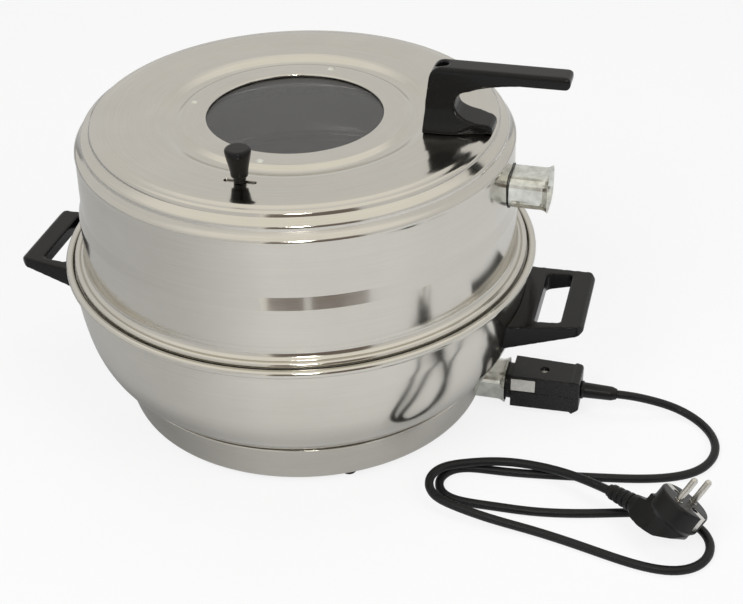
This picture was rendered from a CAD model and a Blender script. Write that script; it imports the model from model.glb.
"""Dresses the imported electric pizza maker: spun shells, moulded handles, cord and plug, and a plain studio."""

import math

import bmesh
import bpy
from bpy.props import FloatProperty, FloatVectorProperty, IntProperty, PointerProperty
from mathutils import Matrix, Vector


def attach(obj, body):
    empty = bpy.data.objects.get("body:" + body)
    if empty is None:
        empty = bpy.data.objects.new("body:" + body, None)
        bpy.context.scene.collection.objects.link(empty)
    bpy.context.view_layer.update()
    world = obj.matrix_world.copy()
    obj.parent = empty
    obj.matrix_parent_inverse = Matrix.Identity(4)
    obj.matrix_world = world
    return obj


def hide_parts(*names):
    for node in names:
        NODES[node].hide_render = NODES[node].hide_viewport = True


bl_info = {
    "name": "Electric Pizza Maker",
    "version": (1, 0, 0),
    "blender": (4, 5, 0),
    "location": "3D View > Sidebar > Pizza Maker",
    "description": "Builds the finished pieces of an electric pizza maker over its packed frame",
    "category": "Object",
}

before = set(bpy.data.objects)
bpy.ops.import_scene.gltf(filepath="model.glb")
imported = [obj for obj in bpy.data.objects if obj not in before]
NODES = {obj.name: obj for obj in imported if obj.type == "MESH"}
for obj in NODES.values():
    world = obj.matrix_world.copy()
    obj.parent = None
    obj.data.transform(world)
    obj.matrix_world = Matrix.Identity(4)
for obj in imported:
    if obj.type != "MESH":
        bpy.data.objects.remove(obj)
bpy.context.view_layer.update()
MM = 0.001

# Heights and radii shared with the frame, in millimetres
JOINT = 127.0
RIM_R = 173.8
BEAD_R = 170.0
BASE_INLET_Z = 19.0
VENT = (-4.2, -109.0)
LID_INLET_Z = 190.3
LID_WALL_R = 159.2
LID_SHEET = 1.0
BOWL_SHEET = 1.2
BOWL_FLOOR_Z = 38.2
COLLAR_HALF_Y = 15.5
COLLAR_HALF_Z = 12.5
COLLAR_CORNER = 9.0

# The bowl's side: an upright band under the rim, then one curve down to the ring
BOWL_BAND = 15.0
BOWL_DROP = 68.7
BOWL_STEPS = 40

# A shoulder rib's shape: a flat tread with a tight lower edge, as a sum of sine waves
RIB_STEPS = 12
RIB_SWELL = ((1, 0.72), (2, -0.3), (3, 0.06))

# Edges sharper than this stay crisp on the spun shells, in degrees
CRISP = 32.0

# The side of the room where the shells mirror a darker floor
DARK_WAY = (math.cos(math.radians(-165)), math.sin(math.radians(-165)))

# The camera's place in metres and its turn in degrees
CAMERA_PLACE = (0.29524, -0.88238, 0.68291)
CAMERA_TURN = (56.3978, 1.1564, 14.5491)

# How much the floor glows by itself, for the camera and in the shells
FLOOR_GLOW = 0.83
FLOOR_MIRROR_GLOW = 0.25
# Where the floor darkens in the shells, from and to, and by how much, from and to
DARK_SIDE = (0.1, 0.9, 0.0, 0.3)
DARK_NEAR = (0.15, 0.215, 0.24, 0.0)
# The room that the shells mirror: height, 0 to 1, and colour. The lowest and highest come first
WALLS = (
    (0.3, (0.74, 0.73, 0.71, 1)), (0.95, (1.0, 0.965, 0.87, 1)),
    (0.62, (0.78, 0.76, 0.73, 1)), (0.78, (1.0, 0.97, 0.9, 1)),
)
# Cards: name, azimuth in degrees, distance, lower and upper edge, width in metres, colour
CARDS = (
    ("opening", -66, 1.3, (0.02, 1.25), 1.1, (0.2, 0.165, 0.14)),
    ("gleam", -70.5, 1.28, (0.02, 0.09), 0.07, (1.0, 1.0, 1.0)),
    ("flash", -72.5, 1.0, (0.76, 0.86), 0.14, (50.0, 50.0, 48.0)),
    ("gleam_side", -89.5, 1.28, (0.02, 1.2), 0.06, (1.0, 0.97, 0.9)),
)
# Lamps: name, place and size in metres, power in watts
LAMPS = (
    ("key", (-0.9, -2.2, 2.4), 1.6, 60.0),
    ("fill", (2.2, -1.0, 1.8), 1.6, 28.0),
    ("top", (0.0, 0.6, 2.8), 2.2, 30.0),
)
LAMP_TARGET = Vector((0, 0, 0.12))

# The cord's route, the same points that its frame solid follows, in metres
CORD_ROUTE = [
    (0.246, 0, 0.019), (0.258, 0.001, 0.0185), (0.272, 0.005, 0.014), (0.288, 0.009, 0.008),
    (0.304, 0.005, 0.004), (0.317, -0.008, 0.0033), (0.324, -0.025, 0.0033), (0.322, -0.044, 0.0033),
    (0.31, -0.062, 0.0033), (0.284, -0.074, 0.0033), (0.252, -0.08, 0.0033), (0.226, -0.084, 0.0033),
    (0.2, -0.088, 0.0033), (0.173, -0.091, 0.0033), (0.15, -0.091, 0.0033), (0.136, -0.097, 0.0033),
    (0.13, -0.111, 0.0033), (0.136, -0.125, 0.0033), (0.15, -0.13, 0.0033), (0.175, -0.129, 0.0033),
    (0.205, -0.129, 0.0033), (0.24, -0.122, 0.0033), (0.27, -0.113, 0.0033), (0.296, -0.108, 0.0033),
    (0.318, -0.116, 0.0033), (0.328, -0.135, 0.0033), (0.322, -0.156, 0.0033), (0.303, -0.167, 0.0033),
    (0.275, -0.165, 0.0033), (0.24, -0.155, 0.0033), (0.205, -0.147, 0.0033), (0.176, -0.147, 0.007),
    (0.148, -0.143, 0.0106), (0.131, -0.136, 0.0106), (0.124, -0.119, 0.0106), (0.131, -0.103, 0.0106),
    (0.15, -0.095, 0.011), (0.178, -0.084, 0.0095), (0.221, -0.089, 0.011), (0.253, -0.108, 0.0155),
]


# ---------------------------------------------------------------- materials


def new_material(name, colour, roughness, metallic=0.0):
    material = bpy.data.materials.new(name)
    material.use_nodes = True
    material.diffuse_color = (*colour, 1)
    shader = material.node_tree.nodes["Principled BSDF"]
    shader.inputs["Base Color"].default_value = (*colour, 1)
    shader.inputs["Roughness"].default_value = roughness
    shader.inputs["Metallic"].default_value = metallic
    return material


def add(tree, kind, at=(0, 0), **values):
    node = tree.nodes.new(kind)
    node.location = at
    for key, value in values.items():
        setattr(node, key, value)
    return node


def maths(tree, operation, a, b=None, at=(0, 0)):
    node = add(tree, "ShaderNodeMath", at, operation=operation)
    for socket, value in zip(node.inputs, (a, b)):
        if value is None:
            continue
        if isinstance(value, (int, float)):
            socket.default_value = value
        else:
            tree.links.new(value, socket)
    return node.outputs[0]


def blend(tree, a, share_a, b, share_b):
    """The sum of two values, each times its share."""
    return maths(tree, "ADD", maths(tree, "MULTIPLY", a, share_a), maths(tree, "MULTIPLY", b, share_b))


def radius_of(tree, x, y):
    """How far a place is from the Z axis."""
    return maths(tree, "SQRT", blend(tree, x, x, y, y))


def group_of(name, inputs, outputs):
    """A new shader node group with its named sockets, and its two end nodes."""
    group = bpy.data.node_groups.new(name, "ShaderNodeTree")
    for label, kind, value in inputs:
        socket = group.interface.new_socket(label, in_out="INPUT", socket_type=kind)
        socket.default_value = value
    for label, kind in outputs:
        group.interface.new_socket(label, in_out="OUTPUT", socket_type=kind)
    return group, add(group, "NodeGroupInput", (-900, 0)), add(group, "NodeGroupOutput", (700, 0))


def spun_grain_group():
    """Fine lines round the Z axis, as a spun and polished sheet has them, with faint stains."""
    if "Spun Grain" in bpy.data.node_groups:
        return bpy.data.node_groups["Spun Grain"]
    flt, col = "NodeSocketFloat", "NodeSocketColor"
    group, start, end = group_of(
        "Spun Grain",
        [
            ("Light", col, (0.7, 0.69, 0.66, 1)), ("Dark", col, (0.6, 0.59, 0.56, 1)),
            ("Roughness", flt, 0.25), ("Spread", flt, 0.08), ("Lines per Metre", flt, 900.0),
        ],
        [("Color", col), ("Roughness", flt), ("Height", flt)],
    )
    place = add(group, "ShaderNodeTexCoord", (-900, 300))
    split = add(group, "ShaderNodeSeparateXYZ", (-700, 300))
    group.links.new(place.outputs["Object"], split.inputs[0])
    x, y, z = split.outputs
    radius = radius_of(group, x, y)
    turn = maths(group, "ARCTAN2", y, x)
    across = maths(group, "MULTIPLY", radius, start.outputs["Lines per Metre"])
    along = maths(group, "MULTIPLY", z, start.outputs["Lines per Metre"])
    ring = add(group, "ShaderNodeCombineXYZ", (-300, 300))
    group.links.new(across, ring.inputs[0])
    group.links.new(along, ring.inputs[1])
    group.links.new(maths(group, "MULTIPLY", turn, 2.5), ring.inputs[2])
    lines = add(group, "ShaderNodeTexNoise", (-100, 300), noise_dimensions="3D")
    lines.inputs["Scale"].default_value = 1.0
    lines.inputs["Detail"].default_value = 3.0
    group.links.new(ring.outputs[0], lines.inputs["Vector"])
    stain = add(group, "ShaderNodeTexNoise", (-100, 0), noise_dimensions="3D")
    stain.inputs["Scale"].default_value = 22.0
    stain.inputs["Detail"].default_value = 5.0
    stain.inputs["Roughness"].default_value = 0.6
    group.links.new(place.outputs["Object"], stain.inputs["Vector"])
    both = blend(group, lines.outputs[0], 0.5, stain.outputs[0], 0.5)
    tone = add(group, "ShaderNodeMapRange", (250, 300))
    tone.inputs["From Min"].default_value = 0.35
    tone.inputs["From Max"].default_value = 0.65
    group.links.new(both, tone.inputs["Value"])
    mix = add(group, "ShaderNodeMix", (450, 300), data_type="RGBA")
    group.links.new(tone.outputs[0], mix.inputs["Factor"])
    group.links.new(start.outputs["Dark"], mix.inputs[6])
    group.links.new(start.outputs["Light"], mix.inputs[7])
    group.links.new(mix.outputs[2], end.inputs["Color"])
    shift = maths(group, "MULTIPLY", maths(group, "SUBTRACT", stain.outputs[0], 0.5), start.outputs["Spread"])
    fine = maths(group, "MULTIPLY", maths(group, "SUBTRACT", lines.outputs[0], 0.5), start.outputs["Spread"])
    uneven = maths(group, "ADD", maths(group, "MULTIPLY", shift, 2.0), fine)
    group.links.new(maths(group, "ADD", start.outputs["Roughness"], uneven), end.inputs["Roughness"])
    group.links.new(lines.outputs[0], end.inputs["Height"])
    return group


def spun_metal(name, light, dark, roughness, spread, lines, depth, anisotropy):
    material = new_material(name, light, roughness, 1.0)
    tree = material.node_tree
    shader = tree.nodes["Principled BSDF"]
    grain = add(tree, "ShaderNodeGroup", (-500, 200), node_tree=spun_grain_group())
    grain.inputs["Light"].default_value = (*light, 1)
    grain.inputs["Dark"].default_value = (*dark, 1)
    grain.inputs["Roughness"].default_value = roughness
    grain.inputs["Spread"].default_value = spread
    grain.inputs["Lines per Metre"].default_value = lines
    bump = add(tree, "ShaderNodeBump", (-250, -200))
    bump.inputs["Strength"].default_value = 0.2
    bump.inputs["Distance"].default_value = depth
    tree.links.new(grain.outputs["Color"], shader.inputs["Base Color"])
    tree.links.new(grain.outputs["Roughness"], shader.inputs["Roughness"])
    tree.links.new(grain.outputs["Height"], bump.inputs["Height"])
    tree.links.new(bump.outputs[0], shader.inputs["Normal"])
    tangent = add(tree, "ShaderNodeTangent", (-250, -400), direction_type="RADIAL", axis="Z")
    tree.links.new(tangent.outputs[0], shader.inputs["Tangent"])
    shader.inputs["Anisotropic"].default_value = anisotropy
    shader.inputs["Anisotropic Rotation"].default_value = 0.25
    return material


def speckle_group():
    """Fine grain with soft patches, for moulded, cast and plated pieces."""
    if "Speckle" in bpy.data.node_groups:
        return bpy.data.node_groups["Speckle"]
    flt, col = "NodeSocketFloat", "NodeSocketColor"
    group, start, end = group_of(
        "Speckle",
        [
            ("Light", col, (0.05, 0.05, 0.05, 1)), ("Dark", col, (0.02, 0.02, 0.02, 1)),
            ("Roughness", flt, 0.35), ("Spread", flt, 0.1),
            ("Grain Scale", flt, 900.0), ("Patch Scale", flt, 30.0),
        ],
        [("Color", col), ("Roughness", flt), ("Height", flt)],
    )
    place = add(group, "ShaderNodeTexCoord", (-900, 300))
    grain = add(group, "ShaderNodeTexNoise", (-500, 300))
    grain.inputs["Detail"].default_value = 2.0
    patch = add(group, "ShaderNodeTexNoise", (-500, 0))
    patch.inputs["Detail"].default_value = 4.0
    for node, scale in ((grain, "Grain Scale"), (patch, "Patch Scale")):
        group.links.new(place.outputs["Object"], node.inputs["Vector"])
        group.links.new(start.outputs[scale], node.inputs["Scale"])
    both = blend(group, grain.outputs[0], 0.6, patch.outputs[0], 0.4)
    tone = add(group, "ShaderNodeMapRange", (0, 300))
    tone.inputs["From Min"].default_value = 0.35
    tone.inputs["From Max"].default_value = 0.68
    group.links.new(both, tone.inputs["Value"])
    mix = add(group, "ShaderNodeMix", (300, 300), data_type="RGBA")
    group.links.new(tone.outputs[0], mix.inputs["Factor"])
    group.links.new(start.outputs["Dark"], mix.inputs[6])
    group.links.new(start.outputs["Light"], mix.inputs[7])
    group.links.new(mix.outputs[2], end.inputs["Color"])
    shift = maths(group, "MULTIPLY", maths(group, "SUBTRACT", both, 0.5), start.outputs["Spread"])
    group.links.new(maths(group, "ADD", start.outputs["Roughness"], shift), end.inputs["Roughness"])
    group.links.new(grain.outputs[0], end.inputs["Height"])
    return group


def speckled(name, light, dark, roughness, spread, grain, patch, depth, metallic, specular):
    material = new_material(name, light, roughness, metallic)
    tree = material.node_tree
    shader = tree.nodes["Principled BSDF"]
    node = add(tree, "ShaderNodeGroup", (-500, 200), node_tree=speckle_group())
    for key, value in (
        ("Light", (*light, 1)), ("Dark", (*dark, 1)), ("Roughness", roughness), ("Spread", spread),
        ("Grain Scale", grain), ("Patch Scale", patch),
    ):
        node.inputs[key].default_value = value
    bump = add(tree, "ShaderNodeBump", (-250, -200))
    bump.inputs["Strength"].default_value = 0.3
    bump.inputs["Distance"].default_value = depth
    tree.links.new(node.outputs["Color"], shader.inputs["Base Color"])
    tree.links.new(node.outputs["Roughness"], shader.inputs["Roughness"])
    tree.links.new(node.outputs["Height"], bump.inputs["Height"])
    tree.links.new(bump.outputs[0], shader.inputs["Normal"])
    shader.inputs["Specular IOR Level"].default_value = specular
    return material


def smoked_glass(name, tone):
    material = new_material(name, (tone, tone, tone), 0.02)
    shader = material.node_tree.nodes["Principled BSDF"]
    shader.inputs["Transmission Weight"].default_value = 1.0
    shader.inputs["IOR"].default_value = 1.5
    return material


# Spun finishes: name, light and dark tone, roughness and its spread, lines per metre, their depth, anisotropy
SPUN = {
    "spun": ("Spun Aluminium", (0.65, 0.63, 0.58), (0.6, 0.58, 0.53), 0.14, 0.06, 1500.0, 0.000008, 0.3),
    "spun_dull": ("Drawn Aluminium", (0.6, 0.59, 0.57), (0.45, 0.44, 0.42), 0.38, 0.12, 700.0, 0.00006, 0.4),
}
# Other finishes: name, light tone, dark tone, then roughness and its spread, scale of the grain and of the
# patches, the grain's depth, metallic share and specular level
SPECKLED = {
    "zinc": ("Zinc Plate", (0.84, 0.85, 0.81), (0.52, 0.53, 0.49), 0.19, 0.2, 160.0, 60.0, 0.00003, 1.0, 0.5),
    "plated": ("Nickel Plate", (0.72, 0.7, 0.66), (0.55, 0.54, 0.5), 0.22, 0.2, 600.0, 80.0, 0.00003, 1.0, 0.5),
    "bakelite": (
        "Moulded Phenolic", (0.008, 0.0076, 0.0072), (0.004, 0.004, 0.004),
        0.2, 0.12, 1400.0, 40.0, 0.000015, 0.0, 0.24,
    ),
    "connector": (
        "Connector Phenolic", (0.014, 0.0135, 0.013), (0.006, 0.006, 0.006),
        0.24, 0.2, 900.0, 90.0, 0.000015, 0.0, 0.3,
    ),
    "rubber": (
        "Black Rubber", (0.008, 0.0078, 0.0078), (0.004, 0.004, 0.004),
        0.36, 0.2, 1600.0, 60.0, 0.00003, 0.0, 0.3,
    ),
    "cord": (
        "Cord Rubber", (0.011, 0.011, 0.0115), (0.006, 0.006, 0.0065),
        0.4, 0.2, 2200.0, 50.0, 0.00003, 0.0, 0.28,
    ),
    "ceramic": ("Steatite", (0.72, 0.69, 0.62), (0.62, 0.58, 0.5), 0.4, 0.15, 800.0, 60.0, 0.00004, 0.0, 0.5),
    "wool": ("Mineral Wool", (0.7, 0.67, 0.58), (0.45, 0.42, 0.34), 0.95, 0.05, 600.0, 90.0, 0.0006, 0.0, 0.5),
    "silicone": ("Grey Silicone", (0.42, 0.42, 0.4), (0.34, 0.34, 0.32), 0.6, 0.1, 900.0, 60.0, 0.00003, 0.0, 0.5),
    "rod": ("Heating Rod", (0.2, 0.19, 0.18), (0.09, 0.085, 0.08), 0.5, 0.2, 500.0, 70.0, 0.00008, 1.0, 0.5),
    "brass": ("Contact Brass", (0.62, 0.46, 0.2), (0.45, 0.32, 0.13), 0.32, 0.2, 700.0, 80.0, 0.00003, 1.0, 0.5),
}
FINISHES = {}


def finish(name):
    """The material of that name, made when it is first asked for."""
    if name not in FINISHES:
        if name in SPUN:
            FINISHES[name] = spun_metal(*SPUN[name])
        elif name in SPECKLED:
            FINISHES[name] = speckled(*SPECKLED[name])
        else:
            FINISHES[name] = smoked_glass("Smoked Glass", 0.42)
    return FINISHES[name]


# ---------------------------------------------------------------- mesh tools


def finished(name, mesh, body, look, replaced=(), smooth=35.0):
    """Puts a mesh into the scene as a piece of that body."""
    for polygon in mesh.polygons:
        polygon.use_smooth = True
    piece = bpy.data.objects.new(name, mesh)
    bpy.context.scene.collection.objects.link(piece)
    mesh.materials.append(finish(look))
    if smooth:
        mesh.set_sharp_from_angle(angle=math.radians(smooth))
    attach(piece, body)
    if replaced:
        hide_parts(*replaced)
    return piece


def to_mesh(form, name):
    """A mesh from a bmesh given in millimetres."""
    bmesh.ops.transform(form, matrix=Matrix.Scale(MM, 4), verts=form.verts[:])
    mesh = bpy.data.meshes.new(name)
    form.to_mesh(mesh)
    form.free()
    return mesh


def rounded(points, radii, steps=6):
    """A line of (radius, height) points with its corners rounded to the radii given, 0 for sharp."""
    line = [Vector(points[0])]
    for before, here, after, radius in zip(points, points[1:], points[2:], radii[1:-1]):
        a, b, c = Vector(before), Vector(here), Vector(after)
        if not radius:
            line.append(b)
            continue
        one, two = (a - b).normalized(), (c - b).normalized()
        angle = one.angle(two)
        reach = min(radius / math.tan(angle / 2), (a - b).length * 0.48, (c - b).length * 0.48)
        start, stop = b + one * reach, b + two * reach
        for k in range(steps + 1):
            t = k / steps
            line.append(start.lerp(b, t).lerp(b.lerp(stop, t), t))
    line.append(Vector(points[-1]))
    return line


def offset(line, distance):
    """The line moved sideways, to the right of its way along."""
    moved = []
    for i, point in enumerate(line):
        way = (line[min(i + 1, len(line) - 1)] - line[max(i - 1, 0)]).normalized()
        moved.append(point + distance * Vector((way.y, -way.x)))
    return moved


def arc(centre, radius, start, stop, steps):
    return [
        Vector(centre) + radius * Vector((math.cos(math.radians(a)), math.sin(math.radians(a))))
        for a in (start + (stop - start) * k / steps for k in range(steps + 1))
    ]


def lathe(line, steps):
    """A bmesh turned round the Z axis from a closed line of (radius, height) points."""
    form = bmesh.new()
    corners = [form.verts.new((max(p[0], 0.0), 0, p[1])) for p in line]
    edges = [form.edges.new((a, b)) for a, b in zip(corners, corners[1:] + corners[:1])]
    bmesh.ops.spin(
        form, geom=corners + edges, cent=(0, 0, 0), axis=(0, 0, 1), dvec=(0, 0, 0),
        angle=2 * math.pi, steps=steps, use_merge=True, use_duplicate=False,
    )
    bmesh.ops.remove_doubles(form, verts=form.verts[:], dist=0.0005)
    bmesh.ops.recalc_face_normals(form, faces=form.faces[:])
    return form


def cut(piece, form):
    """Takes the form, given in millimetres, out of the piece."""
    cutter = bpy.data.objects.new("cutter", to_mesh(form, "cutter"))
    bpy.context.scene.collection.objects.link(cutter)
    modifier = piece.modifiers.new("Cut", "BOOLEAN")
    modifier.operation = "DIFFERENCE"
    modifier.solver = "EXACT"
    modifier.object = cutter
    bpy.context.view_layer.update()
    ready = piece.evaluated_get(bpy.context.evaluated_depsgraph_get())
    mesh = bpy.data.meshes.new_from_object(ready)
    piece.modifiers.clear()
    piece.data = mesh
    bpy.data.objects.remove(cutter)
    piece.data.set_sharp_from_angle(angle=math.radians(CRISP))


def moulded(name, node, body, look, cell, passes):
    """A copy of a node's solid with the soft edges of a moulding. It stands for that node."""
    form = bmesh.new()
    form.from_mesh(NODES[node].data)
    form.transform(NODES[node].matrix_world)
    bmesh.ops.remove_doubles(form, verts=form.verts[:], dist=0.00002)
    bmesh.ops.recalc_face_normals(form, faces=form.faces[:])
    mesh = bpy.data.meshes.new(name)
    form.to_mesh(mesh)
    form.free()
    draft = bpy.data.objects.new("draft", mesh)
    bpy.context.scene.collection.objects.link(draft)
    cells = draft.modifiers.new("Cells", "REMESH")
    cells.mode = "VOXEL"
    cells.voxel_size = cell
    soften = draft.modifiers.new("Soften", "SMOOTH")
    soften.factor = 0.5
    soften.iterations = passes
    bpy.context.view_layer.update()
    ready = bpy.data.meshes.new_from_object(draft.evaluated_get(bpy.context.evaluated_depsgraph_get()))
    ready.name = name
    bpy.data.objects.remove(draft)
    return finished(name, ready, body, look, (node,), 0)


def dress(names, look):
    """Gives CAD nodes a finish."""
    for name in names:
        mesh = NODES[name].data
        if not mesh.materials:
            mesh.materials.append(finish(look))
        for index in range(len(mesh.materials)):
            mesh.materials[index] = finish(look)


# ---------------------------------------------------------------- settings


class PIZZA_PG_sizes(bpy.types.PropertyGroup):
    lathe_steps: IntProperty(
        name="Turning Steps", description="Faces round each spun shell", default=288, min=48, max=512
    )
    rib_bulge: FloatProperty(
        name="Rib Bulge", description="How far each shoulder rib stands out", default=0.002,
        unit="LENGTH", precision=4,
    )
    cord_thickness: FloatProperty(
        name="Cord Thickness", description="Diameter of the cord", default=0.0064, unit="LENGTH", precision=4
    )
    floor_colour: FloatVectorProperty(
        name="Floor Colour", description="Colour of the floor", default=(0.9, 0.9, 0.9),
        subtype="COLOR", min=0, max=1,
    )


# ---------------------------------------------------------------- pieces


class PIZZA_OT_camera(bpy.types.Operator):
    """Sets the camera at the photograph's viewing angle"""

    bl_idname = "pizza.camera"
    bl_label = "Camera"

    def execute(self, context):
        data = bpy.data.cameras.new("Camera")
        data.sensor_fit = "HORIZONTAL"
        data.sensor_width = 36.0
        data.lens = 69.03
        data.clip_start = 0.05
        data.clip_end = 50
        camera = bpy.data.objects.new("Camera", data)
        context.scene.collection.objects.link(camera)
        camera.location = CAMERA_PLACE
        camera.rotation_euler = [math.radians(a) for a in CAMERA_TURN]
        context.scene.camera = camera
        return {"FINISHED"}


def smooth_route(points, steps):
    """The curve that the route's points steer, as in the frame."""
    route = [Vector(p) for p in points]
    route = [2 * route[0] - route[1]] + route + [2 * route[-1] - route[-2]]
    line = []
    for i in range(1, len(route) - 2):
        for k in range(steps):
            t = k / steps
            line.append(
                ((1 - t) ** 3 * route[i - 1] + (3 * t**3 - 6 * t * t + 4) * route[i]
                 + (-3 * t**3 + 3 * t * t + 3 * t + 1) * route[i + 1] + t**3 * route[i + 2]) / 6
            )
    line.append(Vector(points[-1]))
    return line


class PIZZA_OT_cord(bpy.types.Operator):
    """Lays the cord along its route, with the connector on one end and the plug on the other"""

    bl_idname = "pizza.cord"
    bl_label = "Cord and Plug"

    def execute(self, context):
        sizes = context.scene.pizza_sizes
        line = smooth_route(CORD_ROUTE, 6)
        data = bpy.data.curves.new("cord_jacket", "CURVE")
        data.dimensions = "3D"
        spline = data.splines.new("POLY")
        spline.points.add(len(line) - 1)
        for point, place in zip(spline.points, line):
            point.co = (*place, 1)
        data.bevel_depth = sizes.cord_thickness / 2
        data.bevel_resolution = 5
        data.use_fill_caps = True
        data.materials.append(finish("cord"))
        spline.use_smooth = True
        piece = bpy.data.objects.new("cord_jacket", data)
        context.scene.collection.objects.link(piece)
        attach(piece, "cord_set")
        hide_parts("cord")
        upper = moulded("connector_top", "connector_upper", "cord_set", "connector", 0.00035, 7)
        lower = moulded("connector_bottom", "connector_lower", "cord_set", "connector", 0.00035, 7)
        body = moulded("plug_head", "plug_body", "cord_set", "rubber", 0.0004, 12)
        boot = moulded("plug_strain_relief", "plug_boot", "cord_set", "rubber", 0.00035, 5)
        sleeve = moulded("connector_strain_relief", "connector_boot", "cord_set", "rubber", 0.00035, 5)
        dress(["connector_contacts"], "brass")
        dress(["connector_earth_strips", "connector_screw", "plug_pins", "plug_earth_clips"], "plated")
        return {"FINISHED"}


def lid_line(bulge):
    """The lid's outer line, from the hem of the window's edge to the bead."""
    h = JOINT
    top = rounded(
        [(64.9, h + 104.5), (81.5, h + 104.5), (85.5, h + 102.4), (88.5, h + 102.0), (92, h + 102.6),
         (97, h + 104.6), (100.5, h + 105.4), (113.5, h + 105.5), (122.5, h + 106.3), (134.8, h + 106.8),
         (139.2, h + 106.7)],
        [0, 3, 3, 6, 6, 6, 8, 20, 20, 10, 0],
    )
    creases = [(139.8, h + 106.6), (147.5, h + 102.5), (154.0, h + 96.0), (158.5, h + 87.0)]
    ribs = []
    for a, b in zip(creases, creases[1:]):
        a, b = Vector(a), Vector(b)
        side = Vector((-(b - a).y, (b - a).x)).normalized()
        for step in range(RIB_STEPS + 1):
            t = step / RIB_STEPS
            swell = sum(size * math.sin(k * math.pi * t) for k, size in RIB_SWELL)
            ribs.append(a.lerp(b, t) + side * bulge * swell)
    wall = rounded(
        [(158.6, h + 86.4), (159.5, h + 49.5), (161.8, h + 40.6), (162.0, h + 11.0), (162.3, h + 7.2),
         (163.3, h + 4.8), (165.2, h + 3.5), (166.0, h + 2.3)],
        [0, 0.8, 0.8, 12, 5, 3, 2, 0],
    )
    return top + ribs + wall


class PIZZA_OT_lid(bpy.types.Operator):
    """Makes the spun lid with its ribbed shoulder, hemmed window edge, bead and vent slot"""

    bl_idname = "pizza.lid"
    bl_label = "Lid"

    def execute(self, context):
        sizes = context.scene.pizza_sizes
        outer = lid_line(sizes.rib_bulge / MM)
        inner = offset(outer, LID_SHEET)
        hem = arc((64.9, JOINT + 103.4), 1.1, 90, 270, 10)
        bead = arc((BEAD_R - 2.7, JOINT + 1.3), 2.7, 150, -200, 40)
        line = list(reversed(hem))[:-1] + outer + bead[1:] + list(reversed(inner[3:-1]))
        form = lathe(line, sizes.lathe_steps)
        mesh = to_mesh(form, "lid_dome")
        lid = finished("lid_dome", mesh, "lid", "spun", ("lid_shell",), CRISP)
        slot = bmesh.new()
        bmesh.ops.create_circle(slot, cap_ends=True, segments=40, radius=2.3)
        for vert in slot.verts:
            vert.co.x += 9.2 if vert.co.x > 0.01 else -9.2 if vert.co.x < -0.01 else 0.0
        side = bmesh.ops.extrude_face_region(slot, geom=slot.faces[:])
        raised = [v for v in side["geom"] if isinstance(v, bmesh.types.BMVert)]
        bmesh.ops.translate(slot, verts=raised, vec=(0, 0, 12))
        bmesh.ops.translate(slot, verts=slot.verts[:], vec=(VENT[0], VENT[1], JOINT + 100))
        bmesh.ops.recalc_face_normals(slot, faces=slot.faces[:])
        cut(lid, slot)
        return {"FINISHED"}


class PIZZA_OT_bowl(bpy.types.Operator):
    """Makes the spun bowl with its rolled rim, and the ring that it stands on"""

    bl_idname = "pizza.bowl"
    bl_label = "Bowl and Ring"

    def execute(self, context):
        steps = context.scene.pizza_sizes.lathe_steps
        h = JOINT
        r = RIM_R - 2.1
        side = []
        for k in range(BOWL_STEPS + 1):
            t = k / BOWL_STEPS
            lean = t * t / 0.2 if t < 0.1 else t - 0.05
            side.append((r - 5.0 * lean - 6.4 * t ** 2 - 9.8 * t ** 5, h - BOWL_BAND - BOWL_DROP * t))
        outer = [Vector((r, h - 3.5))] + [Vector(point) for point in side[:-1]]
        outer += rounded([side[-1], (147.0, 39.5), (143.5, BOWL_FLOOR_Z), (0, BOWL_FLOOR_Z)], [0, 3, 3, 0], 8)
        inner = offset(outer, BOWL_SHEET)
        bead = arc((RIM_R, h - 1.6), 3.0, 222, -120, 44)
        line = bead + outer + list(reversed(inner))[:-1] + [Vector((r - BOWL_SHEET, h - 3.5))]
        mesh = to_mesh(lathe(line, steps), "bowl")
        finished("bowl", mesh, "base", "spun", ("base_shell",), CRISP)
        ring = rounded(
            [(139.5, BOWL_FLOOR_Z), (147.1, BOWL_FLOOR_Z), (140.0, 10.2), (138.6, 6.6), (135.0, 5.2), (134.0, 5.2)],
            [0, 0.8, 6, 4, 3, 0], 8,
        )
        line = ring + list(reversed(offset(ring, BOWL_SHEET)))
        mesh = to_mesh(lathe(line, steps), "stand_ring")
        foot = finished("stand_ring", mesh, "base", "spun", ("base_ring",), CRISP)
        hole = bmesh.new()
        bmesh.ops.create_cube(hole, size=1.0)
        bmesh.ops.scale(hole, verts=hole.verts[:], vec=(40, 31, 25))
        bmesh.ops.translate(hole, verts=hole.verts[:], vec=(142, 0, BASE_INLET_Z))
        edges = [e for e in hole.edges if abs(e.verts[0].co.x - e.verts[1].co.x) > 1]
        bmesh.ops.bevel(hole, geom=edges, offset=6, segments=8, profile=0.5, affect="EDGES", material=-1)
        cut(foot, hole)
        return {"FINISHED"}


class PIZZA_OT_handles(bpy.types.Operator):
    """Moulds the two base handles and the lid's handle, with their rounded edges"""

    bl_idname = "pizza.handles"
    bl_label = "Handles"

    def execute(self, context):
        moulded("handle_right", "right_handle", "base", "bakelite", 0.0007, 12)
        moulded("handle_left", "left_handle", "base", "bakelite", 0.0007, 12)
        moulded("handle_lid", "lid_handle", "lid", "bakelite", 0.0007, 12)
        dress(["handle_screws", "lid_handle_screws"], "plated")
        return {"FINISHED"}


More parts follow.
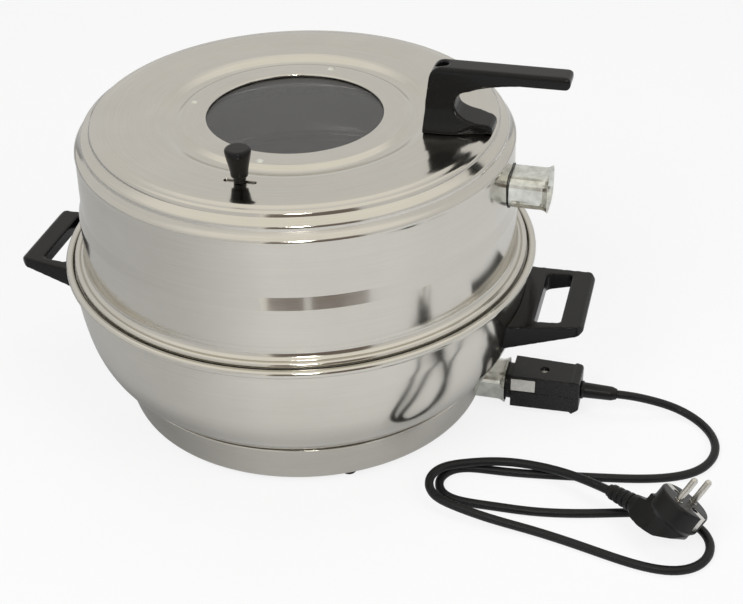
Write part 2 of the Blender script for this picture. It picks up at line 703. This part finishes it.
class PIZZA_OT_inlets(bpy.types.Operator):
    """Finishes the inlets: collars, insulators, pins, leads and the washer"""

    bl_idname = "pizza.inlets"
    bl_label = "Inlets"

    def execute(self, context):
        dress(["lid_inlet_collar", "base_inlet_collar"], "zinc")
        dress(["lid_inlet_insulator", "base_inlet_insulator", "terminal_bushings"], "ceramic")
        dress(["lid_inlet_pins", "base_inlet_pins"], "plated")
        dress(["base_leads"], "brass")
        form = bmesh.new()
        loops = []
        for grow, proud in ((0.1, 0.12), (0.1, 0.7), (1.0, 0.7), (1.0, 0.12)):
            half_y, half_z, corner = COLLAR_HALF_Y + grow, COLLAR_HALF_Z + grow, COLLAR_CORNER + grow
            line = []
            for y, z, start in ((1, 1, 0), (-1, 1, 90), (-1, -1, 180), (1, -1, 270)):
                line += arc((y * (half_y - corner), z * (half_z - corner)), corner, start, start + 90, 10)
            ends = [
                form.verts.new((math.sqrt(LID_WALL_R ** 2 - p.x ** 2) + proud, p.x, LID_INLET_Z + p.y)) for p in line
            ]
            loops.append([form.edges.new(pair) for pair in zip(ends, ends[1:] + ends[:1])])
        for one, two in zip(loops, loops[1:] + loops[:1]):
            bmesh.ops.bridge_loops(form, edges=one + two)
        bmesh.ops.recalc_face_normals(form, faces=form.faces[:])
        mesh = to_mesh(form, "inlet_washer")
        finished("inlet_washer", mesh, "lid", "rubber", ("lid_inlet_gasket",), 40.0)
        return {"FINISHED"}


class PIZZA_OT_inside(bpy.types.Operator):
    """Finishes what lies inside: liner, pan, reflector, elements and window"""

    bl_idname = "pizza.inside"
    bl_label = "Inside"

    def execute(self, context):
        dress(["inner_liner", "lid_reflector", "baking_pan", "bottom_plate", "window_retainer"], "spun_dull")
        dress(["base_element", "lid_element"], "rod")
        dress(["base_element_posts", "lid_element_hangers", "bottom_screws", "foot_screws"], "plated")
        dress(["window_rivets"], "zinc")
        dress(["base_insulation"], "wool")
        dress(["window_gasket"], "silicone")
        dress(["window_glass"], "glass")
        dress(["rubber_feet"], "rubber")
        return {"FINISHED"}


class PIZZA_OT_vent(bpy.types.Operator):
    """Finishes the vent's knob, screw and shutter"""

    bl_idname = "pizza.vent"
    bl_label = "Vent"

    def execute(self, context):
        moulded("knob", "vent_knob", "vent", "bakelite", 0.0003, 5)
        dress(["vent_screw"], "plated")
        dress(["vent_shutter"], "spun_dull")
        return {"FINISHED"}


def bare_material(name):
    """A material with an empty node tree and an output."""
    material = bpy.data.materials.new(name)
    material.use_nodes = True
    tree = material.node_tree
    tree.nodes.clear()
    return material, tree, add(tree, "ShaderNodeOutputMaterial", (600, 0))


def stage_sheet(name, form, material):
    """A flat sheet of the studio from a bmesh in metres."""
    mesh = bpy.data.meshes.new(name)
    form.to_mesh(mesh)
    form.free()
    mesh.materials.append(material)
    sheet = bpy.data.objects.new(name, mesh)
    bpy.context.scene.collection.objects.link(sheet)
    return sheet


def card(name, azimuth, distance, heights, width, colour):
    """An upright card round the object that only mirrored rays see."""
    form = bmesh.new()
    bmesh.ops.create_grid(form, x_segments=1, y_segments=1, size=0.5)
    bmesh.ops.scale(form, verts=form.verts[:], vec=(width, heights[1] - heights[0], 1))
    turn = Matrix.Rotation(math.radians(azimuth + 90), 4, "Z") @ Matrix.Rotation(math.radians(90), 4, "X")
    bmesh.ops.transform(form, matrix=turn, verts=form.verts[:])
    angle = math.radians(azimuth)
    place = (distance * math.cos(angle), distance * math.sin(angle), sum(heights) / 2)
    bmesh.ops.translate(form, verts=form.verts[:], vec=place)
    material, tree, output = bare_material(name)
    glow = add(tree, "ShaderNodeEmission")
    glow.inputs["Color"].default_value = (*colour, 1)
    tree.links.new(glow.outputs[0], output.inputs[0])
    sheet = stage_sheet(name, form, material)
    sheet.visible_camera = sheet.visible_diffuse = sheet.visible_shadow = sheet.visible_transmission = False


def rays(tree):
    """Whether a ray is mirrored, and whether it comes straight or through glass from the camera."""
    path = add(tree, "ShaderNodeLightPath", (-400, 200))
    through = maths(tree, "MAXIMUM", path.outputs["Is Camera Ray"], path.outputs["Is Transmission Ray"])
    return path.outputs["Is Glossy Ray"], through


def floor_material(colour):
    """A pale floor that keeps the object's shadow. In the shells it is darker near the object and at one side."""
    material, tree, output = bare_material("Floor")
    diffuse = add(tree, "ShaderNodeBsdfDiffuse", (0, 0))
    glow = add(tree, "ShaderNodeEmission", (0, -200))
    mirrored, through = rays(tree)
    share = blend(tree, through, FLOOR_GLOW, mirrored, FLOOR_MIRROR_GLOW)
    place = add(tree, "ShaderNodeTexCoord", (-1200, -300))
    split = add(tree, "ShaderNodeSeparateXYZ", (-1000, -300))
    tree.links.new(place.outputs["Object"], split.inputs[0])
    x, y = split.outputs[0], split.outputs[1]
    reach = radius_of(tree, x, y)
    toward = blend(tree, x, DARK_WAY[0], y, DARK_WAY[1])
    side = add(tree, "ShaderNodeMapRange", (-400, -300), interpolation_type="SMOOTHSTEP")
    facing = maths(tree, "DIVIDE", toward, maths(tree, "MAXIMUM", reach, 0.001))
    tree.links.new(facing, side.inputs["Value"])
    near = add(tree, "ShaderNodeMapRange", (-400, -600), interpolation_type="SMOOTHSTEP")
    tree.links.new(reach, near.inputs["Value"])
    for node, spread in ((side, DARK_SIDE), (near, DARK_NEAR)):
        for key, value in zip(("From Min", "From Max", "To Min", "To Max"), spread):
            node.inputs[key].default_value = value
    loss = maths(tree, "MULTIPLY", mirrored, maths(tree, "ADD", side.outputs[0], near.outputs[0]))
    keep = maths(tree, "SUBTRACT", 1.0, loss)
    tree.links.new(keep, glow.inputs["Strength"])
    tinted = add(tree, "ShaderNodeVectorMath", (-200, 200), operation="SCALE")
    tinted.inputs[0].default_value = tuple(colour)
    tree.links.new(keep, tinted.inputs["Scale"])
    tree.links.new(tinted.outputs[0], diffuse.inputs[0])
    mix = add(tree, "ShaderNodeMixShader", (300, 0))
    tree.links.new(share, mix.inputs[0])
    tree.links.new(diffuse.outputs[0], mix.inputs[1])
    tree.links.new(glow.outputs[0], mix.inputs[2])
    tree.links.new(mix.outputs[0], output.inputs[0])
    return material


def room():
    """The surroundings: dim for soft light, white for the camera, and a bright ceiling for mirrored rays."""
    world = bpy.data.worlds.new("Studio")
    bpy.context.scene.world = world
    world.use_nodes = True
    tree = world.node_tree
    dim = tree.nodes["Background"]
    dim.inputs["Strength"].default_value = 0.5
    walls = add(tree, "ShaderNodeBackground", (0, -200))
    place = add(tree, "ShaderNodeTexCoord", (-900, -200))
    split = add(tree, "ShaderNodeSeparateXYZ", (-700, -200))
    tree.links.new(place.outputs["Generated"], split.inputs[0])
    ramp = add(tree, "ShaderNodeValToRGB", (-500, -200))
    tree.links.new(split.outputs[2], ramp.inputs[0])
    stops = ramp.color_ramp.elements
    for index in (0, 1):
        stops[index].position, stops[index].color = WALLS[index]
    for height, colour in WALLS[2:]:
        stops.new(height).color = colour
    tree.links.new(ramp.outputs[0], walls.inputs["Color"])
    bright = add(tree, "ShaderNodeBackground", (0, -400))
    mirrored, through = rays(tree)
    first = add(tree, "ShaderNodeMixShader", (300, 0))
    tree.links.new(mirrored, first.inputs[0])
    tree.links.new(dim.outputs[0], first.inputs[1])
    tree.links.new(walls.outputs[0], first.inputs[2])
    second = add(tree, "ShaderNodeMixShader", (500, 0))
    tree.links.new(through, second.inputs[0])
    tree.links.new(first.outputs[0], second.inputs[1])
    tree.links.new(bright.outputs[0], second.inputs[2])
    tree.links.new(second.outputs[0], tree.nodes["World Output"].inputs[0])


class PIZZA_OT_stage(bpy.types.Operator):
    """Sets the pale floor, the soft lamps and the white surroundings"""

    bl_idname = "pizza.stage"
    bl_label = "Stage"

    def execute(self, context):
        form = bmesh.new()
        bmesh.ops.create_grid(form, x_segments=1, y_segments=1, size=6)
        stage_sheet("floor", form, floor_material(context.scene.pizza_sizes.floor_colour))
        room()
        for values in CARDS:
            card(*values)
        for name, place, size, power in LAMPS:
            lamp = bpy.data.lights.new(name, "AREA")
            lamp.size = size
            lamp.energy = power
            holder = bpy.data.objects.new(name, lamp)
            context.scene.collection.objects.link(holder)
            holder.location = place
            holder.visible_glossy = False
            holder.rotation_euler = (LAMP_TARGET - Vector(place)).to_track_quat("-Z", "Y").to_euler()
        context.scene.view_settings.view_transform = "Standard"
        return {"FINISHED"}


class PIZZA_PT_panel(bpy.types.Panel):
    bl_idname = "PIZZA_PT_panel"
    bl_label = "Pizza Maker"
    bl_space_type = "VIEW_3D"
    bl_region_type = "UI"
    bl_category = "Pizza Maker"

    def draw(self, context):
        sizes = context.scene.pizza_sizes
        for key in ("lathe_steps", "rib_bulge", "cord_thickness", "floor_colour"):
            self.layout.prop(sizes, key)
        for operator in STEPS:
            self.layout.operator(operator.bl_idname)


STEPS = (
    PIZZA_OT_camera, PIZZA_OT_cord, PIZZA_OT_lid, PIZZA_OT_bowl, PIZZA_OT_handles, PIZZA_OT_inlets, PIZZA_OT_inside,
    PIZZA_OT_vent, PIZZA_OT_stage,
)
CLASSES = (PIZZA_PG_sizes, *STEPS, PIZZA_PT_panel)


def register():
    for item in CLASSES:
        bpy.utils.register_class(item)
    bpy.types.Scene.pizza_sizes = PointerProperty(type=PIZZA_PG_sizes)


def unregister():
    del bpy.types.Scene.pizza_sizes
    for item in reversed(CLASSES):
        bpy.utils.unregister_class(item)


def main():
    register()
    for operator in STEPS:
        group, call = operator.bl_idname.split(".")
        getattr(getattr(bpy.ops, group), call)()


if __name__ == "__main__":
    main()
